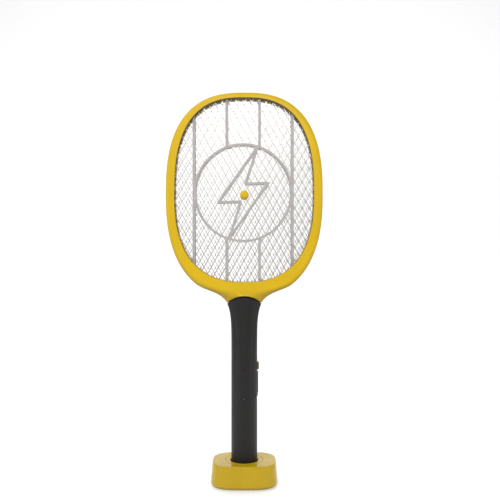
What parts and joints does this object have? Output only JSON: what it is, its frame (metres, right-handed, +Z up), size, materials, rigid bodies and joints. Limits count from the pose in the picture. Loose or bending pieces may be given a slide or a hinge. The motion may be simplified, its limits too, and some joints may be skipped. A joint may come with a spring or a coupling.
{
  "type": "electric fly swatter",
  "caption": "Racket-shaped electric insect swatter with three wire grids, a round handle with side switches, and the flared charging base it stands in.",
  "frame": {"origin": "middle of the base, at floor level", "axes": "+Z up along the handle, +X to the switch side, -Y to the front"},
  "size_m": [0.2076, 0.0754, 0.5183],
  "materials": {
    "yellow_shell": "semi-gloss moulded",
    "black_grip": "fine satin",
    "guard_grid": "satin grey coating",
    "live_wire": "bright drawn",
    "white_insulator": "natural white",
    "screw_steel": "zinc plated",
    "contact_brass": "polished",
    "circuit_board": "solder mask",
    "dark_component": "moulded",
    "red_component": "glossy",
    "red_lens": "tinted",
    "clear_lens": "milky",
    "cell_sleeve": "shrink sleeve",
    "foot_rubber": "matt"
  },
  "bodies": {
    "base": {"base_shell": "yellow_shell", "base_collar": "yellow_shell", "base_bottom_plate": "yellow_shell", "charging_board": "circuit_board", "charging_inlet": "screw_steel", "pin_barrel_left": "contact_brass", "pin_barrel_right": "contact_brass", "base_weight_left": "screw_steel", "base_weight_right": "screw_steel", "base_screw_1": "screw_steel", "base_screw_2": "screw_steel", "base_screw_3": "screw_steel", "base_screw_4": "screw_steel", "foot_1": "foot_rubber", "foot_2": "foot_rubber", "foot_3": "foot_rubber", "foot_4": "foot_rubber"},
    "swatter": {"front_frame": "yellow_shell", "rear_frame": "yellow_shell", "front_guard_grid": "guard_grid", "live_grid": "live_wire", "rear_guard_grid": "guard_grid", "front_spacer": "dark_component", "rear_spacer": "dark_component", "front_stud": "yellow_shell", "rear_stud": "yellow_shell", "front_bush": "white_insulator", "rear_bush": "white_insulator", "head_screw_1": "screw_steel", "head_screw_2": "screw_steel", "head_screw_3": "screw_steel", "head_screw_4": "screw_steel", "head_screw_5": "screw_steel", "head_screw_6": "screw_steel", "front_handle_shell": "black_grip", "rear_handle_shell": "black_grip", "handle_end_cap": "black_grip", "contact_left": "contact_brass", "contact_right": "contact_brass", "handle_screw_1": "screw_steel", "handle_screw_2": "screw_steel", "switch_surround": "black_grip", "press_switch": "dark_component", "slide_switch": "screw_steel", "red_lamp": "red_lens", "green_lamp": "clear_lens", "battery_cell": "cell_sleeve", "battery_cradle": "white_insulator", "main_board": "circuit_board", "step_up_transformer": "white_insulator", "storage_capacitor": "red_component", "rectifier_diode": "dark_component", "live_lead": "red_component", "front_guard_lead": "white_insulator", "rear_guard_lead": "white_insulator"},
    "knob": {"slide_knob": "yellow_shell"},
    "button": {"press_button": "yellow_shell", "press_switch_plunger": "red_component"},
    "left_pin": {"contact_pin_left": "contact_brass"},
    "right_pin": {"contact_pin_right": "contact_brass"}
  },
  "joints": [
    {"name": "swatter_lift", "type": "slide", "parent": "base", "child": "swatter", "axis": [0, 0, 1], "range_m": [0, 0.06]},
    {"name": "knob_slide", "type": "slide", "parent": "swatter", "child": "knob", "axis": [0, 0, 1], "range_m": [0, 0.004]},
    {"name": "button_press", "type": "slide", "parent": "swatter", "child": "button", "axis": [-1, 0, 0], "range_m": [0, 0.0012], "stiffness_N_per_m": 800, "springref_m": -0.0005},
    {"name": "left_pin_press", "type": "slide", "parent": "base", "child": "left_pin", "axis": [0, 0, -1], "range_m": [0, 0.001], "stiffness_N_per_m": 500, "springref_m": -0.0004},
    {"name": "right_pin_press", "type": "slide", "parent": "base", "child": "right_pin", "axis": [0, 0, -1], "range_m": [0, 0.001], "stiffness_N_per_m": 500, "springref_m": -0.0004}
  ]
}
